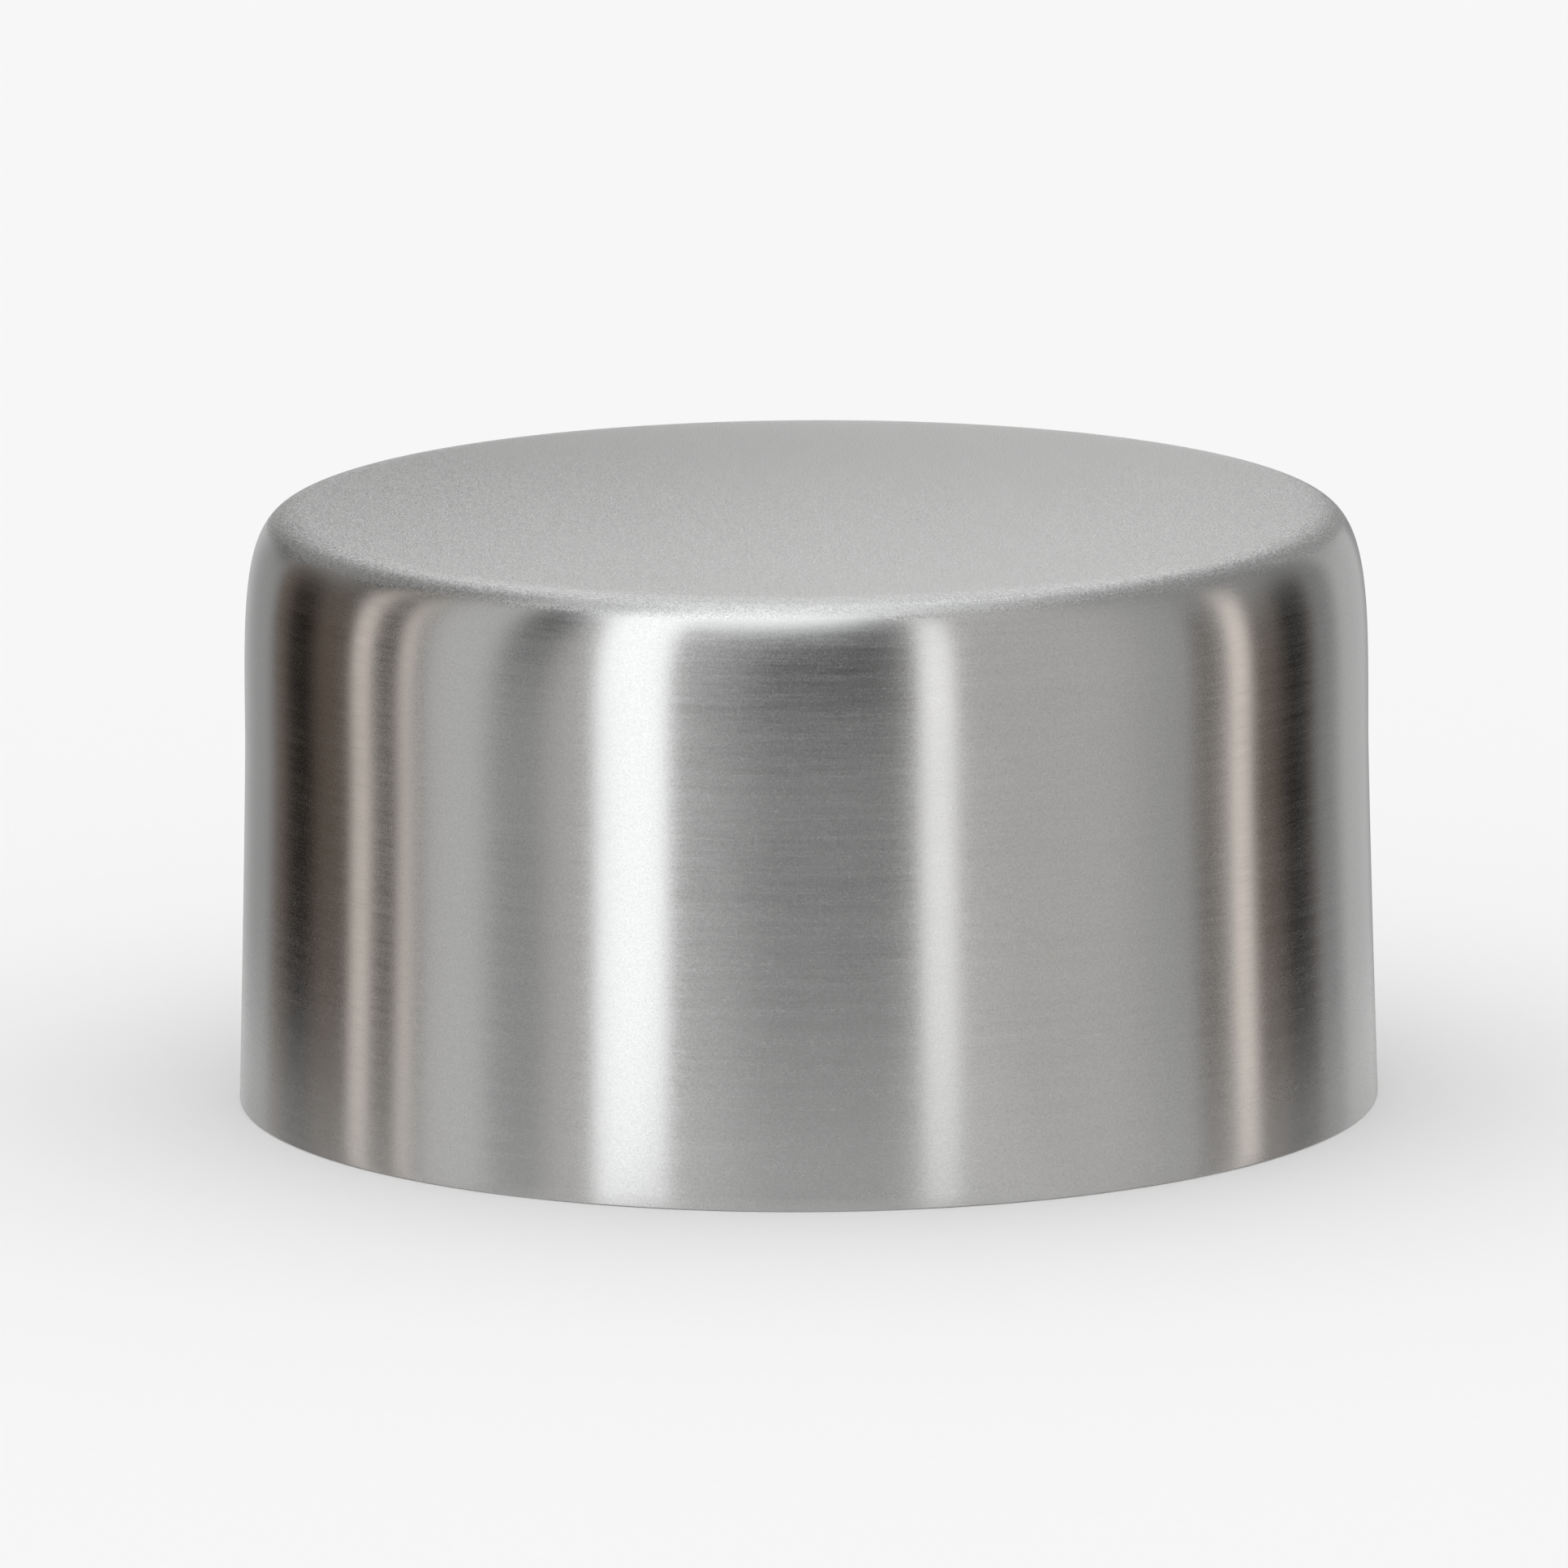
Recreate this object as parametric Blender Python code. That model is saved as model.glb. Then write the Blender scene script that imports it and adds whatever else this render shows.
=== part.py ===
"""Stainless steel slip-on cap for the feed tube of a gravity game feeder, lined to grip a 4 inch pipe.

Three pieces share the vertical Z axis, with Z = 0 at the open rim and +Z towards the closed crown:
a deep-drawn steel shell, a ribbed rubber sleeve bonded inside its skirt, and a sponge disc bonded
under its crown. Each one is a solid of revolution. Lengths are in metres.
"""

import math

import bmesh
import bpy

MM = 0.001

# Driving dimensions
RIM_RADIUS = 61.0 * MM  # outside of the skirt at the open rim
CAP_HEIGHT = 63.6 * MM
SHEET = 0.8 * MM  # steel thickness
TUBE_RADIUS = 57.15 * MM  # outside of the pipe that the cap slides onto
FIT_GAP = 0.3 * MM  # adhesive line between steel and rubber

# Outside of the drawn shell: the skirt widens towards the rim, and the shoulder is a superellipse
# corner, long down the skirt and short across the crown.
SHOULDER_WIDTH = 0.14 * RIM_RADIUS
SHOULDER_DROP = 0.40 * RIM_RADIUS
SHOULDER_POWER = 4.0
SHOULDER_STEPS = 12
SKIRT_TOP = CAP_HEIGHT - SHOULDER_DROP
SKIRT_TOP_RADIUS = 0.983 * RIM_RADIUS
FLARE_POWER = 1.2
SKIRT_STEPS = 5

# Rubber sleeve
SLEEVE_BOTTOM = 6.0 * MM  # set back from the rim, out of sight
SLEEVE_TOP = 54.0 * MM
SLEEVE_WALL = 1.2 * MM
SLEEVE_STEPS = 4
RIB_COUNT = 4
RIB_FIRST = 11.0 * MM  # height of the lowest crest
RIB_PITCH = 11.5 * MM
RIB_SQUEEZE = 0.25 * MM  # how far a crest stands inside the pipe's surface
RIB_RAMP = 2.4 * MM  # gentle side, where the pipe comes in
RIB_LAND = 0.5 * MM
RIB_BACK = 0.4 * MM  # steep side, which resists pulling off

# Sponge disc, where the end of the pipe seats
GASKET_RADIUS = 53.5 * MM
GASKET_THICKNESS = 3.0 * MM

TURN_STEPS = 64
SHARP_ANGLE = math.radians(35)
WELD_DISTANCE = 0.001 * MM


def clear_scene():
    for obj in list(bpy.data.objects):
        bpy.data.objects.remove(obj, do_unlink=True)


def make_material(name, colour, roughness, metallic):
    material = bpy.data.materials.new(name)
    material.use_nodes = True
    shader = material.node_tree.nodes["Principled BSDF"]
    shader.inputs["Base Color"].default_value = (*colour, 1.0)
    shader.inputs["Roughness"].default_value = roughness
    shader.inputs["Metallic"].default_value = metallic
    return material


def turn_solid(name, outline, material):
    """Spin a closed outline of (radius, height) points about Z into one closed body."""
    shape = bmesh.new()
    verts = [shape.verts.new((radius, 0.0, height)) for radius, height in outline]
    edges = [shape.edges.new(pair) for pair in zip(verts, verts[1:])]
    if outline[0][0] > 0.0:
        edges.append(shape.edges.new((verts[-1], verts[0])))
    bmesh.ops.spin(
        shape,
        geom=verts + edges,
        cent=(0.0, 0.0, 0.0),
        axis=(0.0, 0.0, 1.0),
        angle=2 * math.pi,
        steps=TURN_STEPS,
        use_merge=True,
    )
    bmesh.ops.remove_doubles(shape, verts=shape.verts, dist=WELD_DISTANCE)
    bmesh.ops.recalc_face_normals(shape, faces=shape.faces)
    mesh = bpy.data.meshes.new(name)
    shape.to_mesh(mesh)
    shape.free()
    mesh.shade_smooth()
    mesh.set_sharp_from_angle(angle=SHARP_ANGLE)
    mesh.materials.append(material)
    obj = bpy.data.objects.new(name, mesh)
    bpy.context.scene.collection.objects.link(obj)
    return obj


def skirt_point(share):
    """A point on the outside of the skirt, from the rim at share 0 to the shoulder at share 1."""
    flare = (RIM_RADIUS - SKIRT_TOP_RADIUS) * (1.0 - share) ** FLARE_POWER
    return SKIRT_TOP_RADIUS + flare, SKIRT_TOP * share


def shoulder_point(share):
    """A point on the outside of the shoulder, from the skirt at share 0 to the flat crown at share 1."""
    angle = share * math.pi / 2
    across = max(math.cos(angle), 0.0) ** (2 / SHOULDER_POWER)
    along = math.sin(angle) ** (2 / SHOULDER_POWER)
    radius = SKIRT_TOP_RADIUS - SHOULDER_WIDTH * (1.0 - across)
    return radius, SKIRT_TOP + SHOULDER_DROP * along


def shell_outside():
    """The outside of the shell, from the rim up to the edge of the flat crown."""
    skirt = [skirt_point(step / SKIRT_STEPS) for step in range(SKIRT_STEPS)]
    shoulder = [shoulder_point(step / SHOULDER_STEPS) for step in range(SHOULDER_STEPS + 1)]
    return skirt + shoulder


def shell_inside():
    """The outside moved inwards by one sheet, square to itself, with both ends kept level."""
    outside = shell_outside()
    inside = []
    for i, (radius, height) in enumerate(outside):
        before = outside[max(i - 1, 0)]
        after = outside[min(i + 1, len(outside) - 1)]
        run = after[0] - before[0]
        rise = after[1] - before[1]
        length = math.hypot(run, rise)
        inside.append((radius - SHEET * rise / length, height + SHEET * run / length))
    inside[0] = (inside[0][0], 0.0)
    inside[-1] = (outside[-1][0], CAP_HEIGHT - SHEET)
    return inside


def bore_radius(height):
    """Radius of the shell's inside at a height on the skirt or the lower shoulder."""
    wall = shell_inside()
    for (low_radius, low), (high_radius, high) in zip(wall, wall[1:]):
        if low <= height <= high:
            share = (height - low) / (high - low)
            return low_radius + share * (high_radius - low_radius)
    raise ValueError(f"the skirt has no wall at height {height}")


def make_shell(steel):
    """Crown, shoulder and skirt in one thickness of sheet, open at the rim."""
    crown_top = [(0.0, CAP_HEIGHT)]
    crown_underside = [(0.0, CAP_HEIGHT - SHEET)]
    outline = crown_top + shell_outside()[::-1] + shell_inside() + crown_underside
    return turn_solid("cap_shell", outline, steel)


def sleeve_wall(height):
    """A point on the sleeve's inside between its ribs."""
    return bore_radius(height) - FIT_GAP - SLEEVE_WALL, height


def rib(crest):
    """A saw-tooth rib, from its foot on the rim's side to its foot on the crown's side."""
    crest_radius = TUBE_RADIUS - RIB_SQUEEZE
    return [
        sleeve_wall(crest - RIB_RAMP),
        (crest_radius, crest),
        (crest_radius, crest + RIB_LAND),
        sleeve_wall(crest + RIB_LAND + RIB_BACK),
    ]


def make_sleeve(rubber):
    """Lining of the skirt, with ribs that slide onto the pipe and resist pulling off."""
    length = SLEEVE_TOP - SLEEVE_BOTTOM
    levels = [SLEEVE_TOP - length * step / SLEEVE_STEPS for step in range(SLEEVE_STEPS + 1)]
    outline = [(bore_radius(level) - FIT_GAP, level) for level in levels]
    outline.append(sleeve_wall(SLEEVE_BOTTOM))
    for step in range(RIB_COUNT):
        outline += rib(RIB_FIRST + step * RIB_PITCH)
    outline.append(sleeve_wall(SLEEVE_TOP))
    return turn_solid("grip_sleeve", outline, rubber)


def make_gasket(sponge):
    """Flat disc against the underside of the crown."""
    top = CAP_HEIGHT - SHEET - FIT_GAP
    bottom = top - GASKET_THICKNESS
    outline = [(0.0, top), (GASKET_RADIUS, top), (GASKET_RADIUS, bottom), (0.0, bottom)]
    return turn_solid("crown_gasket", outline, sponge)


def build_cap():
    clear_scene()
    make_shell(make_material("brushed_stainless", (0.60, 0.59, 0.58), 0.32, 1.0))
    make_sleeve(make_material("grip_rubber", (0.022, 0.022, 0.023), 0.62, 0.0))
    make_gasket(make_material("sponge_rubber", (0.035, 0.035, 0.036), 0.90, 0.0))


build_cap()
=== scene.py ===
import math

import bmesh
import bpy
from mathutils import Matrix, Vector


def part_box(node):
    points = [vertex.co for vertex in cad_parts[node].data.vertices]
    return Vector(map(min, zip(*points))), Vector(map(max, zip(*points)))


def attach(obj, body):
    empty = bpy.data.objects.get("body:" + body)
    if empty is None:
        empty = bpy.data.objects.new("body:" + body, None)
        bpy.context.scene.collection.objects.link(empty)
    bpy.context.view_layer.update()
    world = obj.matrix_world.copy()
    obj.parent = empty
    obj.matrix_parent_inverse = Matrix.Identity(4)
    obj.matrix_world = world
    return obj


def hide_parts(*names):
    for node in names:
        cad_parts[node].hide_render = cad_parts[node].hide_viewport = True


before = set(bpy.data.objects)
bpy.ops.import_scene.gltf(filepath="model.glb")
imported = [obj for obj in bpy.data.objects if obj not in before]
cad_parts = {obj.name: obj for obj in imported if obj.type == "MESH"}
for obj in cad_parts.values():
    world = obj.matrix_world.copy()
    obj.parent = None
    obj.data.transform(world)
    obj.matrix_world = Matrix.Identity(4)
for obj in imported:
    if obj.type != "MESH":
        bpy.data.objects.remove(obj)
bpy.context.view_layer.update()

# Looks of the gravity feeder tube cap: a brushed stainless shell, a ribbed rubber sleeve and a sponge
# disc, on a pale floor in a soft white studio. Lengths are in metres, in the frame of the CAD.

MM = 0.001

# Driving dimensions of the shell, as in the CAD
_, SHELL_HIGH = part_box("cap_shell")
RIM_RADIUS = SHELL_HIGH.x
CAP_HEIGHT = SHELL_HIGH.z
SHEET = 0.8 * MM
SHOULDER_WIDTH = 0.14 * RIM_RADIUS
SHOULDER_DROP = 0.40 * RIM_RADIUS
SHOULDER_POWER = 4.0
SKIRT_TOP = CAP_HEIGHT - SHOULDER_DROP
SKIRT_TOP_RADIUS = 0.983 * RIM_RADIUS
FLARE_POWER = 1.2
BURR_RADIUS = 0.16 * MM  # the cut edge after deburring

# Rubber sleeve, as in the CAD
SLEEVE_LOW, SLEEVE_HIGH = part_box("grip_sleeve")
FIT_GAP = 0.3 * MM
TUBE_RADIUS = 57.15 * MM
SLEEVE_WALL = 1.2 * MM
RIB_COUNT = 4
RIB_FIRST = 11.0 * MM
RIB_PITCH = 11.5 * MM
RIB_SQUEEZE = 0.25 * MM
RIB_RAMP = 2.4 * MM
RIB_LAND = 0.5 * MM
RIB_BACK = 0.4 * MM
RUBBER_ROUND = 0.12 * MM

# Sponge disc
GASKET_LOW, GASKET_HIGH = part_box("crown_gasket")
GASKET_ROUND = 0.4 * MM

# Fineness of the turned meshes
TURN_STEPS = 256
SKIRT_STEPS = 26
SHOULDER_STEPS = 44
CROWN_STEPS = 10
SLEEVE_STEPS = 24
EDGE_STEPS = 4
SHARP_ANGLE = math.radians(50)
WELD_DISTANCE = 0.001 * MM

# Camera, a long lens slightly above the crown
CAMERA_ELEVATION = math.radians(10.97)
CAMERA_ROLL = math.radians(-0.34)
CAMERA_DISTANCE = 30.0 * RIM_RADIUS
VIEW_WIDTH = 2.748 * RIM_RADIUS  # what the picture's width takes in at the cap
AIM_LEFT = 0.0403 * RIM_RADIUS  # the picture's centre lies left of the cap's axis and above its middle
AIM_UP = 0.0263 * RIM_RADIUS
SENSOR = 36.0

# Floor, with the shares of it that the steel mirrors close around the cap and in front of it
FLOOR_REACH = 12.0
FLOOR_DROP = 0.02 * MM  # below the rim, so that the two never share a plane
FLOOR_NEAR_REACH = 2.2 * RIM_RADIUS
FLOOR_NEAR_SHARE = 0.42
FLOOR_FRONT_REACH = 4.2 * RIM_RADIUS
FLOOR_FRONT_SHARE = 0.85
FLOOR_FRONT_CENTRE = 4.0  # bearings, in degrees
FLOOR_FRONT_SIDE = (18.0, 34.0)
FLOOR_SIDES = 96

# Diffuser card behind the cap's axis. Its brightness changes over the heights and widths given here.
CARD_DISTANCE = 85.0 * MM
CARD_WIDTH = 260.0 * MM
CARD_BOTTOM = CAP_HEIGHT + 1.4 * MM
CARD_TOP = CAP_HEIGHT + 136.4 * MM
CARD_FOOT_EDGE = (CAP_HEIGHT + 3.4 * MM, CAP_HEIGHT + 9.4 * MM)
CARD_RISE = (CAP_HEIGHT + 0.4 * MM, CAP_HEIGHT + 76.4 * MM)
CARD_LEFT_TO_RIGHT = (-80.0 * MM, 60.0 * MM)
CARD_MIDDLE_EDGE = (50.0 * MM, 100.0 * MM)
CARD_THIN_ENDS = (45.0 * MM, 75.0 * MM)
CARD_THIN_FOOT = (CAP_HEIGHT + 5.4 * MM, CAP_HEIGHT + 26.4 * MM)


# ---------------------------------------------------------------- meshes


def new_object(name, shape):
    """An object in the scene with the shape's mesh, which uses the shape up."""
    mesh = bpy.data.meshes.new(name)
    shape.to_mesh(mesh)
    shape.free()
    made = bpy.data.objects.new(name, mesh)
    bpy.context.scene.collection.objects.link(made)
    return made


def turn_piece(name, outline, material):
    """A solid of revolution about Z from a closed outline of (radius, height) points."""
    shape = bmesh.new()
    verts = [shape.verts.new((radius, 0.0, height)) for radius, height in outline]
    edges = [shape.edges.new(pair) for pair in zip(verts, verts[1:])]
    if outline[0][0] > 0.0:
        edges.append(shape.edges.new((verts[-1], verts[0])))
    bmesh.ops.spin(
        shape,
        geom=verts + edges,
        cent=(0.0, 0.0, 0.0),
        axis=(0.0, 0.0, 1.0),
        angle=2 * math.pi,
        steps=TURN_STEPS,
        use_merge=True,
    )
    bmesh.ops.remove_doubles(shape, verts=shape.verts, dist=WELD_DISTANCE)
    bmesh.ops.recalc_face_normals(shape, faces=shape.faces)
    piece = new_object(name, shape)
    piece.data.shade_smooth()
    piece.data.set_sharp_from_angle(angle=SHARP_ANGLE)
    piece.data.materials.append(material)
    return piece


def rounded(outline, corners):
    """The outline with a small round of a given radius at each of its numbered corners."""
    points = []
    for i, point in enumerate(outline):
        if i not in corners:
            points.append(tuple(point))
            continue
        corner = Vector(point)
        back = (Vector(outline[i - 1]) - corner).normalized()
        ahead = (Vector(outline[(i + 1) % len(outline)]) - corner).normalized()
        half = back.angle(ahead) / 2
        trim = corners[i] / math.tan(half)
        middle = corner + (back + ahead).normalized() * corners[i] / math.sin(half)
        start = corner + back * trim - middle
        end = corner + ahead * trim - middle
        for step in range(EDGE_STEPS + 1):
            spoke = start.slerp(end, step / EDGE_STEPS)  # of unit length
            points.append(tuple(middle + spoke * corners[i]))
    return points


def skirt_point(share):
    """A point on the outside of the skirt, from the rim at share 0 to the shoulder at share 1."""
    flare = (RIM_RADIUS - SKIRT_TOP_RADIUS) * (1.0 - share) ** FLARE_POWER
    return SKIRT_TOP_RADIUS + flare, SKIRT_TOP * share


def shoulder_point(share):
    """A point on the outside of the shoulder, from the skirt at share 0 to the flat crown at share 1."""
    angle = share * math.pi / 2
    across = max(math.cos(angle), 0.0) ** (2 / SHOULDER_POWER)
    along = math.sin(angle) ** (2 / SHOULDER_POWER)
    radius = SKIRT_TOP_RADIUS - SHOULDER_WIDTH * (1.0 - across)
    return radius, SKIRT_TOP + SHOULDER_DROP * along


def shell_outside():
    """The outside of the shell, from the rim up to the edge of the flat crown."""
    skirt = [skirt_point(step / SKIRT_STEPS) for step in range(SKIRT_STEPS)]
    shoulder = [shoulder_point(step / SHOULDER_STEPS) for step in range(SHOULDER_STEPS + 1)]
    return skirt + shoulder


def shell_inside():
    """The outside moved inwards by one sheet, square to itself, with both ends kept level."""
    outside = shell_outside()
    inside = []
    for i, (radius, height) in enumerate(outside):
        before = outside[max(i - 1, 0)]
        after = outside[min(i + 1, len(outside) - 1)]
        run = after[0] - before[0]
        rise = after[1] - before[1]
        length = math.hypot(run, rise)
        inside.append((radius - SHEET * rise / length, height + SHEET * run / length))
    inside[0] = (inside[0][0], 0.0)
    inside[-1] = (outside[-1][0], CAP_HEIGHT - SHEET)
    return inside


def bore_radius(height):
    """Radius of the shell's inside at a height on the skirt or the lower shoulder."""
    wall = shell_inside()
    for (low_radius, low), (high_radius, high) in zip(wall, wall[1:]):
        if low <= height <= high:
            share = (height - low) / (high - low)
            return low_radius + share * (high_radius - low_radius)
    raise ValueError(f"the skirt has no wall at height {height}")


def flat_disc(edge_radius, height):
    """Points across a flat disc, from its centre to just inside its edge."""
    return [(edge_radius * step / CROWN_STEPS, height) for step in range(CROWN_STEPS)]


def make_shell(steel):
    outside = shell_outside()
    inside = shell_inside()
    crown = flat_disc(outside[-1][0], CAP_HEIGHT)
    underside = flat_disc(inside[-1][0], CAP_HEIGHT - SHEET)
    outline = crown + outside[::-1] + inside + underside[::-1]
    rim = len(crown) + len(outside) - 1
    return turn_piece("steel_cap", rounded(outline, {rim: BURR_RADIUS, rim + 1: BURR_RADIUS}), steel)


def sleeve_wall(height):
    """A point on the sleeve's inside between its ribs."""
    return bore_radius(height) - FIT_GAP - SLEEVE_WALL, height


def make_sleeve(rubber):
    """The skirt's lining, with saw-tooth ribs that have moulded rounds at feet and crests."""
    length = SLEEVE_HIGH.z - SLEEVE_LOW.z
    levels = [SLEEVE_HIGH.z - length * step / SLEEVE_STEPS for step in range(SLEEVE_STEPS + 1)]
    outline = [(bore_radius(level) - FIT_GAP, level) for level in levels]
    rounds = {0: RUBBER_ROUND, SLEEVE_STEPS: RUBBER_ROUND, SLEEVE_STEPS + 1: RUBBER_ROUND}
    outline.append(sleeve_wall(SLEEVE_LOW.z))
    crest_radius = TUBE_RADIUS - RIB_SQUEEZE
    for step in range(RIB_COUNT):
        crest = RIB_FIRST + step * RIB_PITCH
        rounds.update({len(outline) + corner: RUBBER_ROUND for corner in range(4)})
        outline.append(sleeve_wall(crest - RIB_RAMP))
        outline.append((crest_radius, crest))
        outline.append((crest_radius, crest + RIB_LAND))
        outline.append(sleeve_wall(crest + RIB_LAND + RIB_BACK))
    rounds[len(outline)] = RUBBER_ROUND
    outline.append(sleeve_wall(SLEEVE_HIGH.z))
    return turn_piece("rubber_sleeve", rounded(outline, rounds), rubber)


def make_gasket(sponge):
    """A punched disc, whose lower edge is pulled round by the punch."""
    radius = GASKET_HIGH.x
    top = flat_disc(radius, GASKET_HIGH.z)
    bottom = flat_disc(radius, GASKET_LOW.z)
    outline = top + [(radius, GASKET_HIGH.z), (radius, GASKET_LOW.z)] + bottom[::-1]
    return turn_piece("sponge_disc", rounded(outline, {len(top) + 1: GASKET_ROUND}), sponge)


# ---------------------------------------------------------------- shader nodes


def add_node(tree, kind, inputs=(), **settings):
    """A node with its settings, and with its inputs set to values or linked to sockets."""
    made = tree.nodes.new(kind)
    for key, value in settings.items():
        setattr(made, key, value)
    for key, value in dict(inputs).items():
        if isinstance(value, bpy.types.NodeSocket):
            tree.links.new(value, made.inputs[key])
        else:
            made.inputs[key].default_value = value
    return made


def maths(tree, operation, *values):
    made = add_node(tree, "ShaderNodeMath", dict(enumerate(values)), operation=operation)
    return made.outputs[0]


def vector_maths(tree, operation, inputs):
    """The result of a vector operation, which is a plain number for a product or a length."""
    made = add_node(tree, "ShaderNodeVectorMath", inputs, operation=operation)
    return made.outputs["Value" if operation in ("DOT_PRODUCT", "LENGTH") else "Vector"]


def distance(tree, value, centre):
    """How far a number lies from a centre, to either side."""
    return maths(tree, "ABSOLUTE", maths(tree, "SUBTRACT", value, centre))


def ease(tree, value, low, high, from_level=0.0, to_level=1.0):
    """from_level below low, to_level above high, and a smooth step between them."""
    inputs = {
        "Value": value,
        "From Min": low,
        "From Max": high,
        "To Min": from_level,
        "To Max": to_level,
    }
    made = add_node(tree, "ShaderNodeMapRange", inputs, interpolation_type="SMOOTHSTEP")
    return made.outputs["Result"]


def blend_colours(tree, share, first, second):
    """The first colour at share 0 and the second at share 1. Sockets 6 and 7 are those for colours."""
    made = add_node(tree, "ShaderNodeMix", {0: share, 6: first, 7: second}, data_type="RGBA")
    return made.outputs[2]


def grey(level, tint=(1.0, 1.0, 1.0)):
    return (level * tint[0], level * tint[1], level * tint[2], 1.0)


def new_material(name):
    material = bpy.data.materials.new(name)
    material.use_nodes = True
    return material, material.node_tree, material.node_tree.nodes["Principled BSDF"]


def noise(tree, vector, scale, detail=2.0, roughness=0.5):
    inputs = {"Vector": vector, "Scale": scale, "Detail": detail, "Roughness": roughness}
    return add_node(tree, "ShaderNodeTexNoise", inputs).outputs["Fac"]


def brushed_vector(tree, place, radius, length, width):
    """Coordinates whose cells are long around the axis and narrow along the profile."""
    profile = maths(tree, "SUBTRACT", place.outputs["Z"], radius)
    parts = {
        "X": maths(tree, "DIVIDE", place.outputs["X"], length),
        "Y": maths(tree, "DIVIDE", place.outputs["Y"], length),
        "Z": maths(tree, "DIVIDE", profile, width),
    }
    return add_node(tree, "ShaderNodeCombineXYZ", parts).outputs["Vector"]


# Steel finish. Brush marks are given as length and width, and noise in cells per metre.
FACING_EDGE = (-2 * MM, 2 * MM)
CROWN_RISE = (CAP_HEIGHT - 2.2 * MM, CAP_HEIGHT - 0.1 * MM)
HAIR_MARKS = (6.0 * MM, 0.22 * MM)
HAIR_SHARE = 0.55
STROKE_MARKS = (22.0 * MM, 0.9 * MM)
STROKE_SHARE = 0.45
TONE_EDGE = (0.30, 0.70)
CLOUD_SCALE = 45.0
CLOUD_SHARE = 0.22
GRAIN_SCALE = 5000.0
SKIRT_GRAIN = 0.42
CROWN_EXTRA_GRAIN = 0.60
# Painted shade: the crown's colour is made a little darker than the skirt's
CROWN_PAINTED_SHADE = -0.035
MARK_DARK = grey(0.58, (1.0, 0.995, 0.985))
MARK_LIGHT = grey(0.62, (1.0, 0.997, 0.99))
CLOUD_GREY = grey(0.54)
DRAWN_GREY = grey(0.42)
DRAWN_SHARE = 0.6
SPECK_SCALE = 5200.0  # of the crown's strewn brush directions
SPECK_SPREAD = 12.0
ROUGHNESS = 0.11  # of the skirt, to which the others are added
LINE_ROUGHNESS = 0.18
GRAIN_ROUGHNESS = 0.10
CROWN_ROUGHNESS = 0.10
INSIDE_ROUGHNESS = 0.16
GRAIN_HEIGHT = 0.12  # against the brush marks
MARK_DEPTH = 0.006 * MM


def steel_zones(tree, place, position):
    """How far a point lies on the inside, and how far on the crown, both from 0 to 1."""
    normal = add_node(tree, "ShaderNodeNewGeometry").outputs["Normal"]
    facing = vector_maths(tree, "DOT_PRODUCT", {0: normal, 1: position})
    inside = ease(tree, facing, *FACING_EDGE, 1.0, 0.0)
    crown = ease(tree, place.outputs["Z"], *CROWN_RISE)
    return inside, crown


def brush_lines(tree, place, crown):
    """Fine hairs and longer strokes around the axis, around a level of 0.5, that fade on the crown."""
    flat = add_node(tree, "ShaderNodeCombineXYZ", {"X": place.outputs["X"], "Y": place.outputs["Y"]})
    radius = vector_maths(tree, "LENGTH", {0: flat.outputs["Vector"]})
    hairs = noise(tree, brushed_vector(tree, place, radius, *HAIR_MARKS), 1.0, 3.0, 0.6)
    strokes = noise(tree, brushed_vector(tree, place, radius, *STROKE_MARKS), 1.0, 2.0, 0.5)
    brushed = maths(tree, "MULTIPLY_ADD", strokes, STROKE_SHARE, maths(tree, "MULTIPLY", hairs, HAIR_SHARE))
    contrast = maths(tree, "SUBTRACT", 1.0, crown)
    return maths(tree, "MULTIPLY_ADD", maths(tree, "SUBTRACT", brushed, 0.5), contrast, 0.5)


def steel_colour(tree, position, lines, grain, inside, crown):
    """Steel that is lighter in its brush marks, cloudy, duller inside and speckled with grain, with painted
    shade that makes the crown a little darker.
    """
    bright = blend_colours(tree, ease(tree, lines, *TONE_EDGE), MARK_DARK, MARK_LIGHT)
    cloud = maths(tree, "MULTIPLY", noise(tree, position, CLOUD_SCALE, 3.0, 0.6), CLOUD_SHARE)
    clouded = blend_colours(tree, cloud, bright, CLOUD_GREY)
    dulled = blend_colours(tree, maths(tree, "MULTIPLY", inside, DRAWN_SHARE), clouded, DRAWN_GREY)
    coarse = maths(tree, "MULTIPLY_ADD", crown, CROWN_EXTRA_GRAIN, SKIRT_GRAIN)
    # Painted shade darkens the crown, and the grain factor carries it into the colour
    crown_painted_shade = maths(tree, "MULTIPLY_ADD", crown, CROWN_PAINTED_SHADE, 1.0)
    grain_and_painted_shade = maths(tree, "MULTIPLY_ADD", maths(tree, "SUBTRACT", grain, 0.5), coarse, crown_painted_shade)
    return vector_maths(tree, "SCALE", {0: dulled, "Scale": grain_and_painted_shade})


def steel_roughness(tree, lines, grain, inside, crown):
    """Roughness that follows the marks and the grain, higher on the crown and on the inside."""
    streaky = maths(tree, "MULTIPLY_ADD", lines, LINE_ROUGHNESS, ROUGHNESS)
    skirt_rough = maths(tree, "MULTIPLY_ADD", grain, GRAIN_ROUGHNESS, streaky)
    outer_rough = maths(tree, "MULTIPLY_ADD", crown, CROWN_ROUGHNESS, skirt_rough)
    return maths(tree, "MULTIPLY_ADD", inside, INSIDE_ROUGHNESS, outer_rough)


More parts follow.
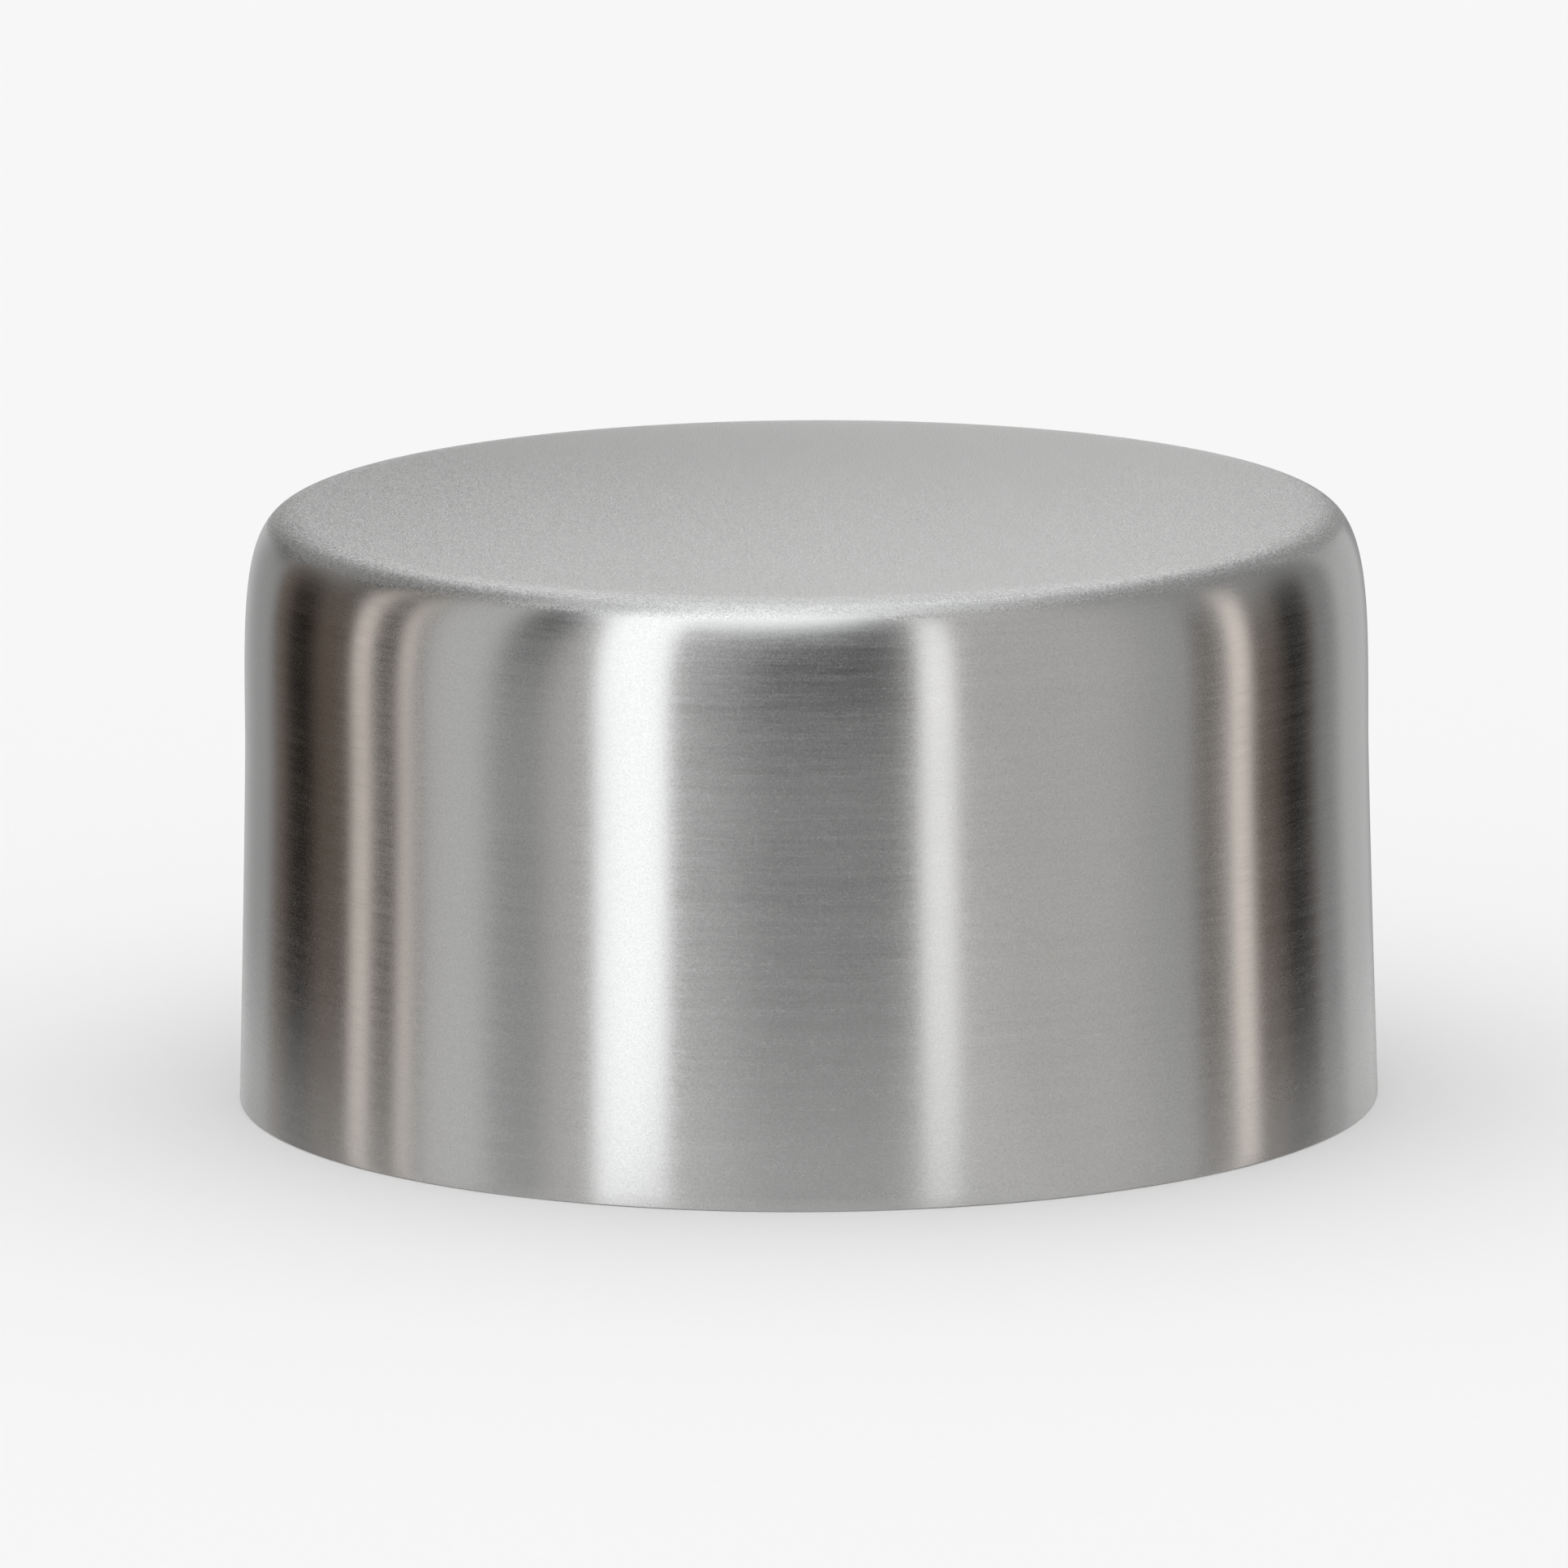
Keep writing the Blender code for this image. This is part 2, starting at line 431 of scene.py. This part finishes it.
def steel_tangent(tree, position, crown):
    """Brushing that runs around the skirt and fades into a satin without direction on the crown."""
    around = add_node(tree, "ShaderNodeTangent", direction_type="RADIAL", axis="Z").outputs["Tangent"]
    speck = add_node(tree, "ShaderNodeTexNoise", {"Vector": position, "Scale": SPECK_SCALE, "Detail": 0.0})
    scatter = vector_maths(tree, "SUBTRACT", {0: speck.outputs["Color"], 1: (0.5, 0.5, 0.5)})
    strewn = vector_maths(tree, "SCALE", {0: scatter, "Scale": SPECK_SPREAD})
    mixed = add_node(tree, "ShaderNodeMix", {0: crown, 4: around, 5: strewn}, data_type="VECTOR")
    return mixed.outputs[1]


def make_steel():
    """Stainless steel, brushed around the axis outside and left as drawn inside."""
    material, tree, shader = new_material("brushed_stainless")
    position = add_node(tree, "ShaderNodeTexCoord").outputs["Object"]
    place = add_node(tree, "ShaderNodeSeparateXYZ", {0: position})
    inside, crown = steel_zones(tree, place, position)
    lines = brush_lines(tree, place, crown)
    grain = noise(tree, position, GRAIN_SCALE, 1.0, 0.5)

    colour = steel_colour(tree, position, lines, grain, inside, crown)
    tree.links.new(colour, shader.inputs["Base Color"])
    tree.links.new(steel_roughness(tree, lines, grain, inside, crown), shader.inputs["Roughness"])
    height = maths(tree, "MULTIPLY_ADD", grain, GRAIN_HEIGHT, lines)
    bump = add_node(tree, "ShaderNodeBump", {"Height": height, "Strength": 0.5, "Distance": MARK_DEPTH})
    tree.links.new(bump.outputs["Normal"], shader.inputs["Normal"])
    tree.links.new(steel_tangent(tree, position, crown), shader.inputs["Tangent"])
    shader.inputs["Metallic"].default_value = 1.0
    shader.inputs["Anisotropic"].default_value = 0.98
    shader.inputs["Anisotropic Rotation"].default_value = 0.25
    return material


# Finish of the two rubbers
BLOOM_SCALE = 90.0
BLOOM_EDGE = (0.40, 0.75)
SKIN_SCALE = 2600.0
RUBBER_BLACK = grey(0.017)
RUBBER_BLOOM = grey(0.040, (1.0, 1.0, 1.03))
PORE_SCALE = 1500.0
PORE_EDGE = (0.15, 0.45)
MOTTLE_SCALE = 220.0
# Painted shade: the colour put into the pores for the shade inside them
PORE_PAINTED_SHADE = grey(0.010)
SPONGE_DARK = grey(0.026)
SPONGE_LIGHT = grey(0.048)


def make_rubber():
    """Black moulded rubber with a faint cloudy bloom and a fine skin."""
    material, tree, shader = new_material("grip_rubber")
    position = add_node(tree, "ShaderNodeTexCoord").outputs["Object"]
    bloom = noise(tree, position, BLOOM_SCALE, 4.0, 0.6)
    skin = noise(tree, position, SKIN_SCALE, 2.0, 0.5)
    colour = blend_colours(tree, ease(tree, bloom, *BLOOM_EDGE), RUBBER_BLACK, RUBBER_BLOOM)
    tree.links.new(colour, shader.inputs["Base Color"])
    tree.links.new(maths(tree, "MULTIPLY_ADD", bloom, 0.22, 0.48), shader.inputs["Roughness"])
    bump = add_node(tree, "ShaderNodeBump", {"Height": skin, "Strength": 0.4, "Distance": 0.02 * MM})
    tree.links.new(bump.outputs["Normal"], shader.inputs["Normal"])
    return material


def make_sponge():
    """Closed-cell sponge with small open pores on its cut skin, darkened by painted shade in the pores."""
    material, tree, shader = new_material("sponge_rubber")
    position = add_node(tree, "ShaderNodeTexCoord").outputs["Object"]
    cells = add_node(tree, "ShaderNodeTexVoronoi", {"Vector": position, "Scale": PORE_SCALE})
    pores = ease(tree, cells.outputs["Distance"], *PORE_EDGE)
    mottle = noise(tree, position, MOTTLE_SCALE, 3.0, 0.6)
    skin = blend_colours(tree, mottle, SPONGE_DARK, SPONGE_LIGHT)
    # Painted shade: the pores get a near-black colour
    colour = blend_colours(tree, pores, PORE_PAINTED_SHADE, skin)
    tree.links.new(colour, shader.inputs["Base Color"])
    tree.links.new(maths(tree, "MULTIPLY_ADD", mottle, 0.12, 0.82), shader.inputs["Roughness"])
    bump = add_node(tree, "ShaderNodeBump", {"Height": pores, "Strength": 0.6, "Distance": 0.10 * MM})
    tree.links.new(bump.outputs["Normal"], shader.inputs["Normal"])
    return material


# ---------------------------------------------------------------- studio

# Light that everything but the steel and the camera gets, and the plain backdrop
OVERHEAD_LOW = grey(0.70)
OVERHEAD_HIGH = grey(1.20)
OVERHEAD_RISE = (15.0, 65.0)
BACKDROP = grey(0.93)

# Greys of the floor and the card
PAPER_DARK = grey(0.93)
PAPER_LIGHT = grey(0.95)
FIBRE_SCALE = 900.0
CARD_LOW_LEFT = grey(0.10)
CARD_LOW_RIGHT = grey(0.48)
CARD_HIGH_MIDDLE = grey(1.25)
CARD_HIGH_ENDS = grey(0.36)
CARD_FOOT = grey(1.50)

# Tints
NEUTRAL = (1.0, 1.0, 1.0)
COOL = (0.985, 1.0, 1.01)
CREAM = (1.0, 0.90, 0.82)
BROWN = (1.0, 0.78, 0.62)

# Upright panels of the light tent, as the steel mirrors them: azimuth from the camera's side, positive
# to its right, with full width, edge softness and top in degrees, then brightness and tint. A later
# panel covers an earlier one.
TALL = 120.0
PANEL_TOP_SOFTNESS = 12
WALL = grey(0.605, (1.0, 0.985, 0.965))
PANELS = [
    ("left front wall", -74, 20, 8, TALL, 0.68, NEUTRAL),
    ("left rear wall", -165, 34, 26, TALL, 0.41, NEUTRAL),
    ("left upper wall", -125, 50, 10, TALL, 0.14, NEUTRAL),
    ("left lower wall", -140, 40, 16, 36, 0.38, NEUTRAL),
    ("right wall, far end", 84, 24, 20, TALL, 0.47, NEUTRAL),
    ("right upper wall", 116, 52, 14, TALL, 0.36, NEUTRAL),
    ("right inner wall", 133, 16, 8, TALL, 0.27, NEUTRAL),
    ("right rear wall", 162, 42, 16, TALL, 0.56, NEUTRAL),
    ("back wall", 180, 30, 20, TALL, 0.62, NEUTRAL),
    ("open front", -4, 46, 6, TALL, 0.46, NEUTRAL),
    ("open front, far corner", 3, 36, 22, TALL, 0.085, NEUTRAL),
    ("key strip light", -36.4, 15.7, 3, TALL, 1.70, COOL),
    ("fill strip light", 26.8, 7.5, 3, 52, 1.45, NEUTRAL),
    ("left doorway surround", -125.5, 33, 8, 22, 0.145, BROWN),
    ("left doorway", -127.5, 12.5, 8, 12, 0.008, BROWN),
    ("left door frame", -103.9, 6.4, 2, 40, 1.00, CREAM),
    ("left door gap", -96.5, 8.2, 3, 40, 0.13, CREAM),
    ("left door edge", -90.4, 4.0, 2, 40, 0.97, CREAM),
    ("left door edge's shadow", -86.7, 3.2, 2, 40, 0.37, NEUTRAL),
    ("right door edge", 90.5, 8, 6, 16, 0.19, CREAM),
    ("right door frame", 100.3, 6.5, 3, 22, 1.22, CREAM),
    ("right doorway surround", 116, 24, 6, 8, 0.16, BROWN),
    ("right doorway", 120, 12, 8, 13, 0.005, BROWN),
]

# A dark hoop holds up the tent's left side. Spans and edges are in degrees from here on.
HOOP_BEARING = math.radians(-125)
HOOP_TILT = math.radians(8)
HOOP_RADIUS = 65
HOOP_WIDTH = 13
HOOP_SOFTNESS = 3
HOOP_FOOT_RISE = (-15.0, 0.0)
HOOP_HEAD_RISE = (0.0, 45.0)
HOOP_LOW = grey(0.48)
HOOP_MIDDLE = grey(0.29)
HOOP_HIGH = grey(0.07)

# The sides lean in at the height of the cap, and out in proportion to the squared elevation above it.
LEAN_IN = 1.6
LEAN_IN_RISE = (-12.0, 6.0)
LEAN_IN_SPAN = (-90.0, 90.0)
LEAN_OUT_LEFT = 0.0035
LEAN_OUT_RIGHT = 0.0022
LEAN_OUT_SPAN = (-58.0, 2.0)

# A pale apron in the open front
APRON_GREY = grey(0.42)
APRON_CENTRE = -5.0
APRON_SIDE = (16.0, 26.0)
APRON_EDGE = (-18.0, -8.0)

# The ceiling, whose edge is higher at the sides and comes down again behind the cap
CEILING = grey(1.75, COOL)
CEILING_RIGHT = grey(1.15, COOL)
CEILING_RIGHT_SPAN = (30.0, 75.0)
CEILING_RIGHT_CENTRE = 90.0
CEILING_EDGE = 43.0
CEILING_CENTRE = -25.0  # bearing where its edge is lowest
CEILING_SIDE = (15.0, 70.0)
CEILING_SIDE_RISE = 28.0
CEILING_BACK = (130.0, 170.0)
CEILING_BACK_DROP = 24.0
CEILING_SOFTNESS = 14.0


def panel_mask(tree, azimuth, elevation, centre, width, softness, top):
    """1 inside a panel and 0 outside it, with soft sides and, unless it is tall, a soft top."""
    offset = maths(tree, "WRAP", maths(tree, "SUBTRACT", azimuth, centre), -180.0, 180.0)
    edge = maths(tree, "ABSOLUTE", offset)
    side = ease(tree, edge, (width - softness) / 2, (width + softness) / 2, 1.0, 0.0)
    if top == TALL:
        return side
    low = top - PANEL_TOP_SOFTNESS
    high = top + PANEL_TOP_SOFTNESS
    return maths(tree, "MULTIPLY", side, ease(tree, elevation, low, high, 1.0, 0.0))


def tent_azimuth(tree, bearing, elevation):
    """The bearing on the tent's sides. They close in from the floor up and lean out further up."""
    low_lean = ease(tree, elevation, *LEAN_IN_RISE)
    inwards = maths(tree, "MULTIPLY", low_lean, ease(tree, bearing, *LEAN_IN_SPAN, LEAN_IN, -LEAN_IN))
    rise = maths(tree, "MAXIMUM", elevation, 0.0)
    away = ease(tree, bearing, *LEAN_OUT_SPAN, -LEAN_OUT_LEFT, LEAN_OUT_RIGHT)
    outwards = maths(tree, "MULTIPLY", maths(tree, "MULTIPLY", rise, rise), away)
    return maths(tree, "SUBTRACT", maths(tree, "SUBTRACT", bearing, outwards), inwards)


def hang_panels(tree, azimuth, elevation):
    """The colour of the tent's walls with all of the panels."""
    colour = WALL
    for _, centre, width, softness, top, level, tint in PANELS:
        mask = panel_mask(tree, azimuth, elevation, centre, width, softness, top)
        colour = blend_colours(tree, mask, colour, grey(level, tint))
    return colour


def add_hoop(tree, direction, elevation, colour):
    """A dark ring around a point on the tent's left side, paler towards the floor."""
    flat = math.cos(HOOP_TILT)
    axis = (math.sin(HOOP_BEARING) * flat, -math.cos(HOOP_BEARING) * flat, math.sin(HOOP_TILT))
    off_axis = vector_maths(tree, "DOT_PRODUCT", {0: direction, 1: axis})
    angle = maths(tree, "DEGREES", maths(tree, "ARCCOSINE", off_axis))
    off_hoop = distance(tree, angle, HOOP_RADIUS)
    inner = HOOP_WIDTH / 2 - HOOP_SOFTNESS
    outer = HOOP_WIDTH / 2 + HOOP_SOFTNESS
    hoop = ease(tree, off_hoop, inner, outer, 1.0, 0.0)
    foot = blend_colours(tree, ease(tree, elevation, *HOOP_FOOT_RISE), HOOP_LOW, HOOP_MIDDLE)
    hoop_colour = blend_colours(tree, ease(tree, elevation, *HOOP_HEAD_RISE), foot, HOOP_HIGH)
    return blend_colours(tree, hoop, colour, hoop_colour)


def add_apron(tree, bearing, elevation, colour):
    """The apron, which ends softly at its sides and at its top."""
    side = ease(tree, distance(tree, bearing, APRON_CENTRE), *APRON_SIDE, 1.0, 0.0)
    apron = maths(tree, "MULTIPLY", side, ease(tree, elevation, *APRON_EDGE, 1.0, 0.0))
    return blend_colours(tree, apron, colour, APRON_GREY)


def add_ceiling(tree, bearing, elevation, colour):
    """A bright ceiling, dimmer to the right, above an edge that rises and falls around the tent."""
    off_centre = ease(tree, distance(tree, bearing, CEILING_CENTRE), *CEILING_SIDE)
    behind = ease(tree, maths(tree, "ABSOLUTE", bearing), *CEILING_BACK)
    side_edge = maths(tree, "MULTIPLY_ADD", off_centre, CEILING_SIDE_RISE, CEILING_EDGE)
    edge = maths(tree, "MULTIPLY_ADD", behind, -CEILING_BACK_DROP, side_edge)
    above = maths(tree, "SUBTRACT", elevation, edge)
    ceiling = ease(tree, above, -CEILING_SOFTNESS, CEILING_SOFTNESS)
    dimmer = ease(tree, distance(tree, bearing, CEILING_RIGHT_CENTRE), *CEILING_RIGHT_SPAN, 1.0, 0.0)
    ceiling_colour = blend_colours(tree, dimmer, CEILING, CEILING_RIGHT)
    return blend_colours(tree, ceiling, colour, ceiling_colour)


def bearing_of(tree, along):
    """Degrees around the axis from the camera's side, positive to its right."""
    towards_camera = maths(tree, "MULTIPLY", along.outputs["Y"], -1.0)
    return maths(tree, "DEGREES", maths(tree, "ARCTAN2", along.outputs["X"], towards_camera))


def make_studio():
    """The light tent that the steel mirrors, an even light for the floor and a plain backdrop."""
    world = bpy.data.worlds.new("studio")
    world.use_nodes = True
    world.cycles.sampling_method = "NONE"
    tree = world.node_tree
    tree.nodes.clear()
    direction = add_node(tree, "ShaderNodeTexCoord").outputs["Generated"]
    along = add_node(tree, "ShaderNodeSeparateXYZ", {0: direction})
    bearing = bearing_of(tree, along)
    elevation = maths(tree, "DEGREES", maths(tree, "ARCSINE", along.outputs["Z"]))

    tent = hang_panels(tree, tent_azimuth(tree, bearing, elevation), elevation)
    tent = add_hoop(tree, direction, elevation, tent)
    tent = add_apron(tree, bearing, elevation, tent)
    tent = add_ceiling(tree, bearing, elevation, tent)

    overhead = blend_colours(tree, ease(tree, elevation, *OVERHEAD_RISE), OVERHEAD_LOW, OVERHEAD_HIGH)
    path = add_node(tree, "ShaderNodeLightPath")
    lit = blend_colours(tree, path.outputs["Is Glossy Ray"], overhead, tent)
    colour = blend_colours(tree, path.outputs["Is Camera Ray"], lit, BACKDROP)
    background = add_node(tree, "ShaderNodeBackground", {"Color": colour, "Strength": 1.0})
    output = add_node(tree, "ShaderNodeOutputWorld")
    tree.links.new(background.outputs[0], output.inputs["Surface"])
    bpy.context.scene.world = world


def bare_material(name, mesh):
    """The empty node tree of a new material, which the mesh gets."""
    material = bpy.data.materials.new(name)
    material.use_nodes = True
    material.node_tree.nodes.clear()
    mesh.materials.append(material)
    return material.node_tree


def mirrored_share(tree, position, radius):
    """How much of the floor the steel mirrors: a little close around the cap, more in front of it."""
    place = add_node(tree, "ShaderNodeSeparateXYZ", {0: position})
    off_front = distance(tree, bearing_of(tree, place), FLOOR_FRONT_CENTRE)
    near = ease(tree, radius, RIM_RADIUS, FLOOR_NEAR_REACH, FLOOR_NEAR_SHARE, 0.0)
    front = ease(tree, off_front, *FLOOR_FRONT_SIDE, FLOOR_FRONT_SHARE, 0.0)
    apron = maths(tree, "MULTIPLY", front, ease(tree, radius, RIM_RADIUS, FLOOR_FRONT_REACH, 1.0, 0.0))
    return maths(tree, "MAXIMUM", near, apron)


def make_floor():
    """A pale floor, seen from above only and open under the cap. The steel mirrors just its near part."""
    shape = bmesh.new()
    bmesh.ops.create_circle(shape, cap_ends=True, radius=FLOOR_REACH, segments=FLOOR_SIDES)
    floor = new_object("floor", shape)
    floor.location.z = -FLOOR_DROP

    tree = bare_material("pale_floor", floor.data)
    position = add_node(tree, "ShaderNodeTexCoord").outputs["Object"]
    radius = vector_maths(tree, "LENGTH", {0: position})
    fibre = noise(tree, position, FIBRE_SCALE, 2.0, 0.5)
    paper = blend_colours(tree, fibre, PAPER_DARK, PAPER_LIGHT)
    diffuse = add_node(tree, "ShaderNodeBsdfDiffuse", {"Color": paper}).outputs[0]
    clear = add_node(tree, "ShaderNodeBsdfTransparent").outputs[0]
    mirrored = add_node(tree, "ShaderNodeLightPath").outputs["Is Glossy Ray"]
    missing = maths(tree, "SUBTRACT", 1.0, mirrored_share(tree, position, radius))
    unmirrored = maths(tree, "MULTIPLY", mirrored, missing)
    under = maths(tree, "LESS_THAN", radius, RIM_RADIUS - SHEET / 2)
    beneath = add_node(tree, "ShaderNodeNewGeometry").outputs["Backfacing"]
    hidden = maths(tree, "MAXIMUM", unmirrored, maths(tree, "MAXIMUM", under, beneath))
    surface = add_node(tree, "ShaderNodeMixShader", {0: hidden, 1: diffuse, 2: clear})
    output = add_node(tree, "ShaderNodeOutputMaterial")
    tree.links.new(surface.outputs[0], output.inputs["Surface"])


def card_colour(tree, across, up):
    """Dim at the bottom and to the left, bright higher up in the middle, with a bright foot."""
    off_centre = ease(tree, maths(tree, "ABSOLUTE", across), *CARD_MIDDLE_EDGE)
    low = blend_colours(tree, ease(tree, across, *CARD_LEFT_TO_RIGHT), CARD_LOW_LEFT, CARD_LOW_RIGHT)
    high = blend_colours(tree, off_centre, CARD_HIGH_MIDDLE, CARD_HIGH_ENDS)
    body = blend_colours(tree, ease(tree, up, *CARD_RISE), low, high)
    return blend_colours(tree, ease(tree, up, *CARD_FOOT_EDGE, 1.0, 0.0), body, CARD_FOOT)


def make_card():
    """A diffuser just behind and above the crown, seen only in the steel, thin at the foot of its ends."""
    shape = bmesh.new()
    half = CARD_WIDTH / 2
    corners = [(-half, CARD_BOTTOM), (half, CARD_BOTTOM), (half, CARD_TOP), (-half, CARD_TOP)]
    shape.faces.new([shape.verts.new((x, CARD_DISTANCE, z)) for x, z in corners])
    card = new_object("diffuser_card", shape)
    card.visible_camera = False
    card.visible_diffuse = False
    card.visible_shadow = False
    card.visible_transmission = False

    tree = bare_material("lit_diffuser", card.data)
    position = add_node(tree, "ShaderNodeTexCoord").outputs["Object"]
    place = add_node(tree, "ShaderNodeSeparateXYZ", {0: position})
    across = place.outputs["X"]
    up = place.outputs["Z"]
    colour = card_colour(tree, across, up)
    glow = add_node(tree, "ShaderNodeEmission", {"Color": colour, "Strength": 1.0}).outputs[0]
    clear = add_node(tree, "ShaderNodeBsdfTransparent").outputs[0]
    ends = ease(tree, maths(tree, "ABSOLUTE", across), *CARD_THIN_ENDS)
    thin = maths(tree, "MULTIPLY", ends, ease(tree, up, *CARD_THIN_FOOT, 1.0, 0.0))
    surface = add_node(tree, "ShaderNodeMixShader", {0: thin, 1: glow, 2: clear}).outputs[0]
    output = add_node(tree, "ShaderNodeOutputMaterial")
    tree.links.new(surface, output.inputs["Surface"])


def make_camera():
    """A long lens in front of the cap, looking a little down, framed with the cap just right of centre."""
    back = Vector((0.0, -math.cos(CAMERA_ELEVATION), math.sin(CAMERA_ELEVATION)))
    up = Vector((0.0, math.sin(CAMERA_ELEVATION), math.cos(CAMERA_ELEVATION)))
    right = Vector((1.0, 0.0, 0.0))
    aim = Vector((0.0, 0.0, CAP_HEIGHT / 2)) - right * AIM_LEFT + up * AIM_UP
    data = bpy.data.cameras.new("camera")
    data.sensor_width = SENSOR
    data.lens = SENSOR * CAMERA_DISTANCE / VIEW_WIDTH
    camera = bpy.data.objects.new("camera", data)
    bpy.context.scene.collection.objects.link(camera)
    turn = Matrix((right, up, back)).transposed() @ Matrix.Rotation(CAMERA_ROLL, 3, "Z")
    camera.matrix_world = Matrix.Translation(aim + back * CAMERA_DISTANCE) @ turn.to_4x4()
    bpy.context.scene.camera = camera


def dress(piece, node):
    """The piece stands for a CAD node, whose part it hides, and hangs from the root body."""
    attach(piece, "root")
    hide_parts(node)


dress(make_shell(make_steel()), "cap_shell")
dress(make_sleeve(make_rubber()), "grip_sleeve")
dress(make_gasket(make_sponge()), "crown_gasket")
make_studio()
make_floor()
make_card()
make_camera()
bpy.context.scene.view_settings.view_transform = "Standard"
